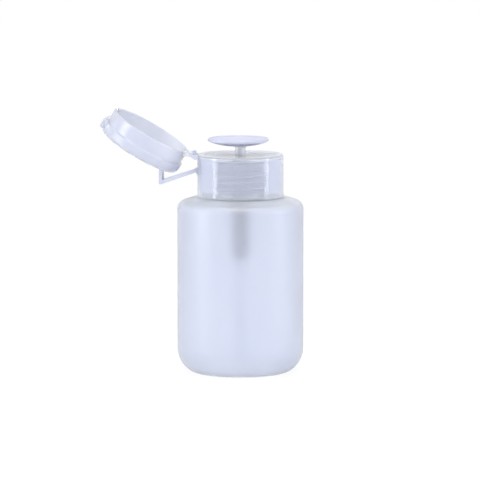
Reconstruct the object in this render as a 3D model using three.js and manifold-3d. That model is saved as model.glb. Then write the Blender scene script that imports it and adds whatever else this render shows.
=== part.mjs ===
// Pump dispenser: a frosted bottle with a push-down dish pump under a flip-top lid.
// Millimetres, +Z up. The origin is the middle of the flat base, on the bottle's axis.
// The hinge is at -X with its axis along Y, and the lid stands open.

import * as THREE from 'three';
import { mergeVertices } from 'three/addons/utils/BufferGeometryUtils.js';
import Module from 'manifold-3d';

const wasm = await Module();
wasm.setup();

// Fits
const seatGap = 0.1;
const slideGap = 0.1;
const sealSideGap = 0.05;
const parting = 0.3;
const overrun = 5;

// Bottle
const bottleRadius = 30;
const bottleWall = 1.1;
const bottleFloor = 1.2;
const baseCornerReach = 9.8;
const baseCornerRise = 12.4;
const wallTop = 78.2;
const shoulderRadius = 4.2;
const shoulderSlope = THREE.MathUtils.degToRad(17);
const shelfRadius = 21;
const neckRadius = 10.95;
const neckWall = 1.45;
const neckHeight = 16.54;
const neckRootFillet = 0.8;
const neckLipChamfer = 0.4;

// Thread of the neck, right-handed
const threadPitch = 3.175;
const threadDepth = 1;
const threadRootWidth = 1.5;
const threadCrestWidth = 0.7;
const threadSink = 0.25;
const threadFade = Math.PI / 4;
const threadFadeShare = 0.1;
const neckThreadTurns = 3.4;
const neckThreadRise = 2.05;
const neckThreadStart = THREE.MathUtils.degToRad(-162);

// Screw collar
const collarRadius = 20.5;
const collarWall = 1.1;
const collarFootGap = 0.55;
const collarEdgeRadius = 0.8;
const collarFootChamfer = 0.25;
const deckThickness = 1.2;
const deckRecess = 0.4;
const rimLandWidth = 3.1;
const deckHoleGap = 0.35;
const innerSkirtWall = 1.15;
const innerSkirtGap = 1.85;
const skirtThreadGap = 0.25;
const collarThreadTurns = 2.5;
const collarThreadRootWidth = 1.2;
const collarThreadCrestWidth = 0.5;

// Hinge: the ears of the collar and of the lid meet at the hinge line
const hingeReach = 2.35;
const hingeDrop = 0.35;
const openAngle = THREE.MathUtils.degToRad(149.5);
const earInner = 3.5;
const earWidth = 3;
const earThickness = 0.95;
const earRootThickness = 1.9;
const earRoot = 1;

// Hinge pads, the thicker wall that the collar's ears grow from
const padProud = 0.5;
const padHeight = 7;
const padSink = 0.6;

// Lid, measured from its rim
const lidHeight = 12.1;
const lidSkirtInset = 0.5;
const lidBandProud = 0.8;
const lidBandStart = 7;
const lidWall = 1.1;
const lidCornerRadius = 2.3;
const lidStepRise = 0.5;
const tabProud = 1.1;
const tabStart = 5.4;
const tabEnd = 10.4;
const tabHalfWidth = 8;
const tabSink = 1;

// Spring strap: its root on the collar, its knee when open, and its end in the lid's groove
const strapWidth = 6;
const strapThickness = 1.2;
const strapRootProud = 1.1;
const strapRootDrop = 7.8;
const strapKneeReach = 17.5;
const strapKneeDrop = 13.5;
const strapEndInset = 7.5;
const strapEndDepth = 0.3;
const grooveSideGap = 0.3;
const strapRootPadHeight = 3;

// Dish and stem
const dishRadius = 14.5;
const dishOffset = -1;
const dishHeight = 3.7;
const dishRimHeight = 1.2;
const dishFloorThickness = 1.2;
const dishLip = 0.9;
const dishCurve = 2.5;
const hubRadius = 3;
const hubDrop = 0.5;
const outletRadius = 0.9;
const stemRadius = 2.45;
const stemInDish = 0.7;
const stroke = 3.7;
const stopRingGap = 0.2;
const stopRingHeight = 1.7;

// Pump cylinder, measured down from the top of its flange
const cylinderBore = 3.2;
const cylinderWall = 1;
const cylinderLength = 45.2;
const tubeTopDrop = 5.5;
const headSideGap = 1.9;
const headWall = 1.1;
const headHeight = 14.5;
const headConeDrop = 3;
const flangeOverhang = 0.35;
const flangeThickness = 0.7;

// Neck gasket
const gasketThickness = 1;
const gasketHeadGap = 0.6;
const gasketOverhang = 0.65;

// Bush and seal of the stem
const bushNose = 2;
const sealThickness = 1.2;

// Piston, its seal, and the outlet valve in the stem's foot
const pistonSideGap = 0.15;
const pistonRise = 16.7;
const pistonFloor = 2.4;
const pistonSocketDepth = 4.1;
const pistonGrooveDepth = 0.6;
const pistonGrooveStart = 1;
const pistonGrooveHeight = 1.2;
const outletBallOversize = 0.25;
const outletChamberGap = 0.3;
const outletChamberHeight = 3.1;

// Foot valve, its ball and its cage
const footHeight = 3.6;
const footChamfer = 1.2;
const footSpigot = 1.3;
const footPassage = 0.8;
const inletBallOversize = 0.7;
const ballLift = 0.8;
const cageThickness = 1;
const cageLip = 0.5;
const cageSlots = 3;
const cageSlotReach = 2.3;
const cageSlotWidth = 0.9;

// Return spring
const springWireRadius = 0.3;
const springMeanRadius = 2.4;
const springCoils = 7;

// Dip tube
const dipTubeRadius = 1.5;
const dipTubeWall = 0.55;
const dipTubeFloorGap = 2.2;

// Facets
const bigRound = 48;
const dishRound = 40;
const smallRound = 24;
const threadSteps = 24;
const coilSteps = 8;
const coilSides = 5;
const arcSteps = 5;
const cornerSteps = 8;
const ballSteps = 12;

// Heights of the neck and of what is stacked on it
const shelfZ = shoulderEnd(0).z + (shoulderEnd(0).r - shelfRadius) * Math.tan(shoulderSlope);
const neckTop = shelfZ + neckHeight;
const neckThreadBottom = shelfZ + neckThreadRise;
const gasketBottom = neckTop + seatGap;
const gasketTop = gasketBottom + gasketThickness;
const flangeUnder = gasketTop + seatGap;
const flangeTop = flangeUnder + flangeThickness;
const deckUnder = flangeTop + seatGap;
const deckTop = deckUnder + deckThickness;
const collarRim = deckTop + deckRecess;
const lidRimZ = collarRim + parting;
const hingeZ = collarRim + parting / 2 - hingeDrop;

// Heights of the dish and of the pump's pieces
const dishBottom = deckTop + seatGap + stroke + hubDrop;
const dishRimTop = dishBottom + dishHeight;
const stemTop = dishBottom + stemInDish;
const tubeTop = flangeTop - tubeTopDrop;
const bushTop = flangeTop - seatGap;
const bushNoseBottom = tubeTop + seatGap - bushNose;
const sealTop = bushNoseBottom - seatGap;
const stopRingTop = sealTop - sealThickness - seatGap;
const cylinderBottom = flangeTop - cylinderLength;
const pistonBottom = cylinderBottom + pistonRise;
const pistonFloorTop = pistonBottom + pistonFloor;
const footSpigotTop = cylinderBottom + footSpigot;
const footFlangeTop = cylinderBottom - seatGap;
const footBottom = footFlangeTop - footHeight;
const socketTop = footFlangeTop - seatGap;

// Radii and places across the axis
const neckBore = neckRadius - neckWall;
const skirtBore = neckRadius + threadDepth + skirtThreadGap;
const lidSkirtRadius = collarRadius - lidSkirtInset;
const lidBandRadius = lidSkirtRadius + lidBandProud;
const hingeX = -collarRadius - hingeReach;
const headRadius = neckBore - headSideGap;
const flangeRadius = neckRadius + flangeOverhang;
const tubeRadius = cylinderBore + cylinderWall;
const pistonRadius = cylinderBore - pistonSideGap;
const outletBallRadius = outletRadius + outletBallOversize;
const inletBallRadius = footPassage + inletBallOversize;

// Balls on their seats, and the cage and spring above the inlet ball
const outletBallZ = pistonFloorTop + seatGap + Math.sqrt(outletBallRadius ** 2 - outletRadius ** 2);
const inletBallZ = footSpigotTop + seatGap + Math.sqrt(inletBallRadius ** 2 - footPassage ** 2);
const cageBottom = inletBallZ + inletBallRadius + ballLift + seatGap;
const springBottom = cageBottom + cageThickness + seatGap;
const springTop = pistonBottom - seatGap;

// Plastics of the object, in the colours that the photo shows
const plastics = {
  frosted: { color: '#d9def0', roughness: 0.55, metalness: 0 },
  clear: { color: '#dde3f4', roughness: 0.35, metalness: 0 },
  pump: { color: '#c3c8d8', roughness: 0.45, metalness: 0 },
  seal: { color: '#e6e6e2', roughness: 0.8, metalness: 0 },
  steel: { color: '#b9bcc2', roughness: 0.3, metalness: 1 },
};

const dispenser = new THREE.Group();

function addPiece(name, geometry, plastic, parent = dispenser) {
  const mesh = new THREE.Mesh(geometry, new THREE.MeshStandardMaterial(plastics[plastic]));
  mesh.name = name;
  parent.add(mesh);
}

// Profiles and solids

function point(r, z) {
  return new THREE.Vector2(r, z);
}

function arc(centreR, centreZ, reachR, reachZ, from, to, steps = arcSteps) {
  return Array.from({ length: steps + 1 }, (_, i) => {
    const angle = from + (to - from) * i / steps;
    return point(centreR + reachR * Math.cos(angle), centreZ + reachZ * Math.sin(angle));
  });
}

function weld(geometry) {
  geometry.deleteAttribute('normal');
  geometry.deleteAttribute('uv');
  const merged = mergeVertices(geometry);
  const corners = merged.index.array;
  const kept = [];
  for (let i = 0; i < corners.length; i += 3) {
    const [a, b, c] = corners.slice(i, i + 3);
    if (a !== b && b !== c && c !== a) kept.push(a, b, c);
  }
  merged.setIndex(kept);
  return merged;
}

function turned(profile, facets) {
  const geometry = new THREE.LatheGeometry(profile, facets);
  return weld(geometry.rotateX(Math.PI / 2));
}

// A closed ring of profile points, given anticlockwise in radius and height
function turnedRing(profile, facets) {
  return turned([...profile, profile[0]], facets);
}

// An outline in X and Z with a width along Y, centred on the given Y
function slab(outline, width, centreY = 0) {
  const shape = new THREE.Shape(outline);
  const geometry = new THREE.ExtrudeGeometry(shape, { depth: width, bevelEnabled: false });
  return weld(geometry.rotateX(Math.PI / 2).translate(0, width / 2 + centreY, 0));
}

// A tube that goes round the axis, anticlockwise from above, through rings of points that
// each run anticlockwise in radius and height, closed by a flat fan at each end
function tubeThrough(rings) {
  const sides = rings[0].length;
  const index = [];
  for (let i = 0; i + 1 < rings.length; i += 1) {
    for (let j = 0; j < sides; j += 1) {
      const a = i * sides + j;
      const b = i * sides + (j + 1) % sides;
      index.push(a, b + sides, b, a, a + sides, b + sides);
    }
  }
  const last = (rings.length - 1) * sides;
  for (let j = 1; j + 1 < sides; j += 1) {
    index.push(0, j, j + 1);
    index.push(last, last + j + 1, last + j);
  }
  const geometry = new THREE.BufferGeometry().setFromPoints(rings.flat());
  geometry.setIndex(index);
  return geometry;
}

function solid(geometry) {
  return new wasm.Manifold(new wasm.Mesh({
    numProp: 3,
    vertProperties: new Float32Array(geometry.getAttribute('position').array),
    triVerts: new Uint32Array(geometry.index.array),
  }));
}

function surface(body) {
  const mesh = body.getMesh();
  const geometry = new THREE.BufferGeometry();
  geometry.setAttribute('position', new THREE.BufferAttribute(mesh.vertProperties, 3));
  geometry.setIndex(new THREE.BufferAttribute(mesh.triVerts, 1));
  return geometry;
}

function join(geometries, cuts = []) {
  let body = solid(geometries[0]);
  for (const geometry of geometries.slice(1)) body = body.add(solid(geometry));
  for (const geometry of cuts) body = body.subtract(solid(geometry));
  return surface(body);
}

// Turning points of the spring strap, in X and Z

const strapRoot = point(-collarRadius - strapRootProud, collarRim - strapRootDrop);
const strapKnee = point(-collarRadius - strapKneeReach, collarRim - strapKneeDrop);
const kneeClosed = point(strapRoot.x, strapRoot.y + strapRoot.distanceTo(strapKnee));
const strapEnd = point(strapEndInset - lidSkirtRadius, lidRimZ + lidHeight - strapEndDepth);
const strapEndOpen = strapEnd.clone().rotateAround(point(hingeX, hingeZ), openAngle);

// Bottle: blown plastic with a soft base corner, a low shoulder and a threaded neck

function shoulderEnd(inset) {
  const angle = Math.PI / 2 - shoulderSlope;
  const radius = shoulderRadius - inset;
  return {
    r: bottleRadius - shoulderRadius + radius * Math.cos(angle),
    z: wallTop + radius * Math.sin(angle),
  };
}

function bottleSide(inset, floor) {
  const cornerR = bottleRadius - baseCornerReach;
  const shoulderR = bottleRadius - shoulderRadius;
  const radius = shoulderRadius - inset;
  const reach = baseCornerReach - inset;
  const rise = baseCornerRise - floor;
  return [
    point(0, floor),
    ...arc(cornerR, baseCornerRise, reach, rise, -Math.PI / 2, 0, cornerSteps),
    ...arc(shoulderR, wallTop, radius, radius, 0, Math.PI / 2 - shoulderSlope),
    point(shelfRadius - inset * Math.tan(shoulderSlope / 2), shelfZ - inset),
  ];
}

function threadRidge({ rootRadius, depth, sink, rootWidth, crestWidth, start, turns, bottom }) {
  const steps = Math.ceil(turns * threadSteps);
  const sweep = turns * 2 * Math.PI;
  const rings = Array.from({ length: steps + 1 }, (_, i) => {
    const along = sweep * i / steps;
    const fade = Math.min(1, threadFadeShare + Math.min(along, sweep - along) / threadFade);
    const angle = start + along;
    const z = bottom + threadPitch * along / (2 * Math.PI);
    const section = [
      point(rootRadius - sink, -rootWidth / 2),
      point(rootRadius + depth * fade, -crestWidth / 2),
      point(rootRadius + depth * fade, crestWidth / 2),
      point(rootRadius - sink, rootWidth / 2),
    ];
    if (depth < 0) section.reverse();
    return section.map((p) => (
      new THREE.Vector3(p.x * Math.cos(angle), p.x * Math.sin(angle), z + p.y)));
  });
  return tubeThrough(rings);
}

function makeBottle() {
  const filletR = neckRadius + neckRootFillet;
  const filletZ = shelfZ + neckRootFillet;
  const wall = turned([
    ...bottleSide(0, 0),
    ...arc(filletR, filletZ, neckRootFillet, neckRootFillet, -Math.PI / 2, -Math.PI),
    point(neckRadius, neckTop - neckLipChamfer),
    point(neckRadius - neckLipChamfer, neckTop),
    point(neckBore, neckTop),
    point(neckBore, shelfZ - bottleWall),
    ...bottleSide(bottleWall, bottleFloor).reverse(),
  ], bigRound);
  const ridge = threadRidge({
    rootRadius: neckRadius,
    depth: threadDepth,
    sink: threadSink,
    rootWidth: threadRootWidth,
    crestWidth: threadCrestWidth,
    start: neckThreadStart,
    turns: neckThreadTurns,
    bottom: neckThreadBottom,
  });
  addPiece('bottle', join([wall, ridge]), 'frosted');
}

// Screw collar: outer skirt, deck and inner threaded skirt, with pads and ears for the hinge

function makeCollar() {
  const inner = collarRadius - collarWall;
  const foot = shelfZ + collarFootGap;
  const innerFoot = shelfZ + innerSkirtGap;
  const deckHole = stemRadius + deckHoleGap;
  const edgeR = collarRadius - collarEdgeRadius;
  const edgeZ = collarRim - collarEdgeRadius;
  const shell = turnedRing([
    point(inner, foot),
    point(collarRadius - collarFootChamfer, foot),
    point(collarRadius, foot + collarFootChamfer),
    ...arc(edgeR, edgeZ, collarEdgeRadius, collarEdgeRadius, 0, Math.PI / 2),
    point(collarRadius - rimLandWidth, collarRim),
    point(collarRadius - rimLandWidth - deckRecess, deckTop),
    point(deckHole, deckTop),
    point(deckHole, deckUnder),
    point(skirtBore, deckUnder),
    point(skirtBore, innerFoot),
    point(skirtBore + innerSkirtWall, innerFoot),
    point(skirtBore + innerSkirtWall, deckUnder),
    point(inner, deckUnder),
  ], bigRound);
  const ridge = threadRidge({
    rootRadius: skirtBore,
    depth: -threadDepth,
    sink: -threadSink,
    rootWidth: collarThreadRootWidth,
    crestWidth: collarThreadCrestWidth,
    start: neckThreadStart,
    turns: collarThreadTurns,
    bottom: neckThreadBottom + threadPitch / 2,
  });
  const padOuter = -collarRadius - padProud;
  const padInner = -collarRadius + padSink;
  const earTop = hingeZ - parting / 2;
  const extras = [1, -1].flatMap((side) => {
    const centreY = side * (earInner + earWidth / 2);
    return [
      slab([
        point(padInner, edgeZ - padHeight),
        point(-collarRadius, edgeZ - padHeight),
        point(padOuter, edgeZ - padHeight + padProud),
        point(padOuter, edgeZ),
        point(padInner, edgeZ),
      ], earWidth, centreY),
      slab([
        point(-collarRadius + earRoot, earTop - earRootThickness),
        point(-collarRadius - padProud, earTop - earRootThickness),
        point(hingeX, earTop - earThickness),
        point(hingeX, earTop),
        point(-collarRadius + earRoot, earTop),
      ], earWidth, centreY),
    ];
  });
  const rootFace = strapRoot.x + strapThickness / 2 + parting;
  const rootHalf = strapRootPadHeight / 2;
  const rootPad = slab([
    point(padInner, strapRoot.y - rootHalf),
    point(rootFace, strapRoot.y - rootHalf),
    point(rootFace, strapRoot.y + rootHalf),
    point(padInner, strapRoot.y + rootHalf),
  ], strapWidth);
  addPiece('screw_collar', join([shell, ridge, ...extras, rootPad]), 'clear');
}

// Frame of the lid: its own axis and rim plane when closed, turned open about the hinge line

function openFrame() {
  const frame = new THREE.Group();
  frame.position.set(hingeX, 0, hingeZ);
  frame.rotation.y = -openAngle;
  const closed = new THREE.Group();
  closed.position.set(-hingeX, 0, -hingeZ);
  frame.add(closed);
  dispenser.add(frame);
  return closed;
}

// Lid: a shallow cup with a band near its top, a thumb tab and a groove for the spring strap

// A line under the closed upper arm, at the given depth below the arm's middle
function underStrap(depth) {
  const along = kneeClosed.clone().sub(strapEnd).normalize();
  const down = point(-along.y, along.x);
  const near = strapEnd.clone().addScaledVector(along, -depth).addScaledVector(down, depth);
  return { near, at: (x) => point(x, near.y + (x - near.x) * along.y / along.x) };
}

function makeLid(frame) {
  const top = lidRimZ + lidHeight;
  const bandZ = lidRimZ + lidBandStart;
  const cornerR = lidBandRadius - lidCornerRadius;
  const cornerZ = top - lidCornerRadius;
  const innerCorner = lidCornerRadius - lidWall;
  const skirtInner = lidSkirtRadius - lidWall;
  const innerCornerR = skirtInner - innerCorner;
  const shell = turned([
    point(0, top - lidWall),
    ...arc(innerCornerR, top - lidWall - innerCorner, innerCorner, innerCorner, Math.PI / 2, 0),
    point(skirtInner, lidRimZ),
    point(lidSkirtRadius, lidRimZ),
    point(lidSkirtRadius, bandZ - lidStepRise),
    point(lidBandRadius, bandZ),
    ...arc(cornerR, cornerZ, lidCornerRadius, lidCornerRadius, 0, Math.PI / 2),
    point(0, top),
  ], bigRound);
  const tabOuter = lidBandRadius + tabProud;
  const tab = slab([
    point(lidSkirtRadius - tabSink, lidRimZ + tabStart),
    point(lidSkirtRadius, lidRimZ + tabStart),
    point(tabOuter, lidRimZ + tabStart + tabProud),
    point(tabOuter, lidRimZ + tabEnd - tabProud / 2),
    point(lidBandRadius, lidRimZ + tabEnd),
    point(cornerR, lidRimZ + tabEnd),
  ], 2 * tabHalfWidth);
  const earBottom = hingeZ + parting / 2;
  const earStep = lidRimZ - earBottom;
  const ears = [1, -1].map((side) => slab([
    point(-lidSkirtRadius + earRoot, lidRimZ),
    point(-lidSkirtRadius + earRoot, earBottom + earRootThickness),
    point(-lidSkirtRadius, earBottom + earRootThickness),
    point(hingeX, earBottom + earThickness),
    point(hingeX, earBottom),
    point(-collarRadius - earStep, earBottom),
    point(-collarRadius, lidRimZ),
  ], earWidth, side * (earInner + earWidth / 2)));
  const drop = strapThickness / 2 + parting;
  const floor = underStrap(drop);
  const groove = slab([
    floor.at(hingeX),
    floor.near,
    point(floor.near.x, top + overrun),
    point(hingeX, top + overrun),
  ], strapWidth + 2 * grooveSideGap);
  const wallUnder = underStrap(drop + lidWall);
  const backingX = -lidSkirtRadius + lidWall / 2;
  const backing = slab([
    wallUnder.at(backingX),
    wallUnder.near,
    point(wallUnder.near.x, top - lidWall / 2),
    point(backingX + innerCorner, top - lidWall / 2),
    point(backingX, top - lidWall - innerCorner),
  ], strapWidth + 2 * (grooveSideGap + lidWall));
  addPiece('lid', join([shell, tab, ...ears, backing], [groove]), 'clear', frame);
}

// Spring strap: two arms that bend at a knee and snap the lid open or shut

function strapArm(from, to, roundFrom, roundTo) {
  const along = to.clone().sub(from).normalize();
  const angle = along.angle();
  const half = strapThickness / 2;
  const side = point(-along.y, along.x).multiplyScalar(half);
  const endTo = roundTo
    ? arc(to.x, to.y, half, half, angle - Math.PI / 2, angle + Math.PI / 2)
    : [to.clone().sub(side), to.clone().add(side)];
  const endFrom = roundFrom
    ? arc(from.x, from.y, half, half, angle + Math.PI / 2, angle + 3 * Math.PI / 2)
    : [from.clone().add(side), from.clone().sub(side)];
  return slab([...endTo, ...endFrom], strapWidth);
}

function makeStrap() {
  addPiece('strap_lower_arm', strapArm(strapRoot, strapKnee, true, true), 'clear');
  const gap = strapThickness / 2 + parting;
  const upperFoot = strapKnee.clone().lerp(strapEndOpen, gap / strapKnee.distanceTo(strapEndOpen));
  addPiece('strap_upper_arm', strapArm(upperFoot, strapEndOpen, false, true), 'clear');
}

// Dish: a shallow saucer on a short hub, a little off the stem's axis as the photo shows

function makeDish() {
  const rimBottom = dishRimTop - dishRimHeight;
  const floorTop = dishBottom + dishFloorThickness;
  const innerRadius = dishRadius - dishLip;
  const rise = (r, reach, from, to) => from + (to - from) * (r / reach) ** dishCurve;
  const steps = Array.from({ length: cornerSteps + 1 }, (_, i) => i / cornerSteps);
  const saucer = turned([
    ...steps.map((s) => point(dishRadius * s, rise(dishRadius * s, dishRadius, dishBottom, rimBottom))),
    ...arc(dishRadius - dishLip / 2, dishRimTop - dishLip / 2, dishLip / 2, dishLip / 2, 0, Math.PI),
    ...steps.slice(0, -1).reverse().map((s) => (
      point(innerRadius * s, rise(innerRadius * s, innerRadius, floorTop, dishRimTop - dishLip / 2)))),
  ], dishRound).translate(dishOffset, 0, 0);
  const hub = turned([
    point(0, dishBottom - hubDrop),
    point(hubRadius, dishBottom - hubDrop),
    point(hubRadius, dishBottom + hubDrop),
    point(0, dishBottom + hubDrop),
  ], smallRound);
  const socket = turned([
    point(0, dishBottom - overrun),
    point(stemRadius + slideGap, dishBottom - overrun),
    point(stemRadius + slideGap, stemTop + seatGap),
    point(0, stemTop + seatGap),
  ], smallRound);
  const outlet = turned([
    point(0, dishBottom),
    point(outletRadius, dishBottom),
    point(outletRadius, dishRimTop + overrun),
    point(0, dishRimTop + overrun),
  ], smallRound);
  addPiece('dish', join([saucer, hub], [socket, outlet]), 'clear');
}

// Stem: a hollow rod with a stop ring and, in its foot, the chamber of the outlet ball

function makeStem() {
  const foot = pistonFloorTop + seatGap;
  const chamber = outletBallRadius + outletChamberGap;
  const stopRingRadius = cylinderBore - stopRingGap;
  addPiece('stem', turnedRing([
    point(chamber, foot),
    point(stemRadius, foot),
    point(stemRadius, stopRingTop - stopRingHeight),
    point(stopRingRadius, stopRingTop - stopRingHeight),
    point(stopRingRadius, stopRingTop),
    point(stemRadius, stopRingTop),
    point(stemRadius, stemTop),
    point(outletRadius, stemTop),
    point(outletRadius, foot + outletChamberHeight + chamber - outletRadius),
    point(chamber, foot + outletChamberHeight),
  ], smallRound), 'pump');
}

// Bush that guides the stem, and the wiper seal under its nose

function makeBushAndSeal() {
  const bushBore = stemRadius + slideGap;
  const nose = cylinderBore - slideGap;
  addPiece('stem_bush', turnedRing([
    point(bushBore, bushNoseBottom),
    point(nose, bushNoseBottom),
    point(nose, tubeTop + seatGap),
    point(headRadius - headWall - slideGap, tubeTop + seatGap),
    point(headRadius - headWall - slideGap, bushTop),
    point(bushBore, bushTop),
  ], smallRound), 'pump');
  addPiece('stem_seal', turnedRing([
    point(stemRadius + sealSideGap, sealTop - sealThickness),
    point(cylinderBore - sealSideGap, sealTop - sealThickness),
    point(cylinderBore - sealSideGap, sealTop),
    point(stemRadius + sealSideGap, sealTop),
  ], smallRound), 'seal');
}

// Piston on the stem's foot, and its ring seal

function makePiston() {
  const socket = stemRadius + slideGap;
  const grooveBottom = pistonBottom + pistonGrooveStart;
  const grooveTop = grooveBottom + pistonGrooveHeight;
  const grooveRadius = pistonRadius - pistonGrooveDepth;
  addPiece('piston', turnedRing([
    point(outletRadius, pistonBottom),
    point(pistonRadius, pistonBottom),
    point(pistonRadius, grooveBottom),
    point(grooveRadius, grooveBottom),
    point(grooveRadius, grooveTop),
    point(pistonRadius, grooveTop),
    point(pistonRadius, pistonFloorTop + pistonSocketDepth),
    point(socket, pistonFloorTop + pistonSocketDepth),
    point(socket, pistonFloorTop),
    point(outletRadius, pistonFloorTop),
  ], smallRound), 'pump');
  addPiece('piston_seal', turnedRing([
    point(grooveRadius + sealSideGap, grooveBottom + sealSideGap),
    point(cylinderBore - sealSideGap, grooveBottom + sealSideGap),
    point(cylinderBore - sealSideGap, grooveTop - sealSideGap),
    point(grooveRadius + sealSideGap, grooveTop - sealSideGap),
  ], smallRound), 'seal');
}

// Return spring: one helix between the inlet cage and the piston

function makeSpring() {
  const steps = springCoils * coilSteps;
  const low = springBottom + springWireRadius;
  const climb = springTop - springBottom - 2 * springWireRadius;
  const rings = Array.from({ length: steps + 1 }, (_, i) => {
    const angle = 2 * Math.PI * springCoils * i / steps;
    return Array.from({ length: coilSides }, (_, j) => {
      const turn = 2 * Math.PI * j / coilSides;
      const r = springMeanRadius + springWireRadius * Math.cos(turn);
      const z = low + climb * i / steps + springWireRadius * Math.sin(turn);
      return new THREE.Vector3(r * Math.cos(angle), r * Math.sin(angle), z);
    });
  });
  addPiece('return_spring', tubeThrough(rings), 'steel');
}

// Balls of the two valves

function makeBalls() {
  const ball = (radius, z) => {
    const sphere = new THREE.SphereGeometry(radius, ballSteps, ballSteps / 2);
    return weld(sphere.rotateX(Math.PI / 2).translate(0, 0, z));
  };
  addPiece('outlet_ball', ball(outletBallRadius, outletBallZ), 'steel');
  addPiece('inlet_ball', ball(inletBallRadius, inletBallZ), 'steel');
}

// Pump cylinder: a long tube in a wider head, hung from its flange in the neck

function makeCylinder() {
  const cupInner = headRadius - headWall;
  const headBottom = flangeTop - headHeight;
  const coneBottom = headBottom - headConeDrop;
  addPiece('pump_cylinder', turnedRing([
    point(cylinderBore, cylinderBottom),
    point(tubeRadius, cylinderBottom),
    point(tubeRadius, coneBottom),
    point(headRadius, headBottom),
    point(headRadius, flangeUnder),
    point(flangeRadius, flangeUnder),
    point(flangeRadius, flangeTop),
    point(cupInner, flangeTop),
    point(cupInner, headBottom + headWall),
    point(tubeRadius, coneBottom + 2 * headWall),
    point(tubeRadius, tubeTop),
    point(cylinderBore, tubeTop),
  ], smallRound), 'pump');
}

// Gasket between the flange and the mouth of the neck

function makeGasket() {
  const inner = headRadius + gasketHeadGap;
  const outer = neckRadius + gasketOverhang;
  addPiece('neck_gasket', turnedRing([
    point(inner, gasketBottom),
    point(outer, gasketBottom),
    point(outer, gasketTop),
    point(inner, gasketTop),
  ], bigRound), 'seal');
}

// Foot valve: the seat of the inlet ball above, the socket of the dip tube below

function makeFootValve() {
  const socket = dipTubeRadius + slideGap;
  const spigot = cylinderBore - slideGap;
  addPiece('foot_valve', turnedRing([
    point(socket, footBottom),
    point(tubeRadius - footChamfer, footBottom),
    point(tubeRadius, footBottom + footChamfer),
    point(tubeRadius, footFlangeTop),
    point(spigot, footFlangeTop),
    point(spigot, footSpigotTop),
    point(footPassage, footSpigotTop),
    point(footPassage, socketTop),
    point(socket, socketTop),
  ], smallRound), 'pump');
}

// Cage that keeps the inlet ball by its seat and carries the spring, with slots for the liquid

function makeInletCage() {
  const bore = inletBallRadius - cageLip;
  const ring = turnedRing([
    point(bore, cageBottom),
    point(cylinderBore - slideGap, cageBottom),
    point(cylinderBore - slideGap, cageBottom + cageThickness),
    point(bore, cageBottom + cageThickness),
  ], smallRound);
  const height = cageThickness + 2 * overrun;
  const slots = Array.from({ length: cageSlots }, (_, i) => weld(
    new THREE.BoxGeometry(cageSlotReach, cageSlotWidth, height)
      .translate(cageSlotReach / 2, 0, cageBottom)
      .rotateZ(2 * Math.PI * i / cageSlots)));
  addPiece('inlet_cage', join([ring], slots), 'pump');
}

// Dip tube: from the foot valve's socket down to just above the bottle's floor

function makeDipTube() {
  const bore = dipTubeRadius - dipTubeWall;
  addPiece('dip_tube', turnedRing([
    point(bore, bottleFloor + dipTubeFloorGap),
    point(dipTubeRadius, bottleFloor + dipTubeFloorGap),
    point(dipTubeRadius, socketTop - seatGap),
    point(bore, socketTop - seatGap),
  ], smallRound), 'pump');
}

// Assembly

makeBottle();
makeDipTube();
makeFootValve();
makeBalls();
makeInletCage();
makeCylinder();
makeGasket();
makeSpring();
makePiston();
makeStem();
makeBushAndSeal();
makeCollar();
makeDish();
makeStrap();
makeLid(openFrame());

export default dispenser;
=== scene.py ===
import math

import bmesh
import bpy
from mathutils import Matrix, Vector


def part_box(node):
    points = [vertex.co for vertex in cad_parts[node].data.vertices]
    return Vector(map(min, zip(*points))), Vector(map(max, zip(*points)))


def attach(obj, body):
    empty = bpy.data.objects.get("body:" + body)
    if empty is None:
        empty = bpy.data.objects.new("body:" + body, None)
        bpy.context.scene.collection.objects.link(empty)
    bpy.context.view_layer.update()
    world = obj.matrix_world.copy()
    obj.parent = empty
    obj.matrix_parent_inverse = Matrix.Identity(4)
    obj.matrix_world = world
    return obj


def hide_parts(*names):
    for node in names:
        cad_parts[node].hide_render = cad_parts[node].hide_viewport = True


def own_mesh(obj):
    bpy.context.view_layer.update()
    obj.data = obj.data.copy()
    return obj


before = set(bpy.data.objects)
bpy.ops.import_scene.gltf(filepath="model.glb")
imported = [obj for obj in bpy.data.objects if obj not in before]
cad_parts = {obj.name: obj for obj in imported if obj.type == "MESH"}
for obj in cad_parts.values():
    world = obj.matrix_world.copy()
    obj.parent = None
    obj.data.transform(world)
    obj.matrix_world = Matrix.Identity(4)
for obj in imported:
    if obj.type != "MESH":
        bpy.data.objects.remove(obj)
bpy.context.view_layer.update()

# Bottle: one shell of natural low-density polyethylene, blown in a two-part mould, so its
# corners are soft and its wall is milky and lets a blurred light through. The neck and its
# right-handed thread are formed in the same mould and carry the screw collar.
MM = 0.001
BOTTLE_RADIUS, BOTTLE_WALL, BOTTLE_FLOOR = 30.0, 1.1, 1.2
CORNER_REACH, CORNER_RISE = 9.8, 12.4
WALL_TOP, SHOULDER_RADIUS, SHOULDER_SLOPE = 78.2, 4.2, math.radians(17)
SHELF_RADIUS, SHELF_Z = 21.0, 84.06
NECK_RADIUS, NECK_BORE, NECK_TOP, NECK_FILLET = 10.95, 9.5, 100.6, 0.8
THREAD_PITCH, THREAD_DEPTH, THREAD_ROOT, THREAD_CREST = 3.175, 1.0, 1.5, 0.7
THREAD_START, THREAD_TURNS, THREAD_BOTTOM = math.radians(-162), 3.4, SHELF_Z + 2.05
SHELF_ROUND, MOUTH_ROUND, LIP_ROUND, BORE_ROUND = 1.0, 0.35, 0.3, 0.5
FINE_TURN, ROUND_STEPS, THREAD_MESH, ON_WALL, WELD = 192, 6, 0.14, 1e-3, 1e-7
RUNOUT, RUNOUT_START, SHARP_ANGLE, SKIN_SPREAD = math.pi / 4, 0.1, math.radians(38), 0.02


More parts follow.
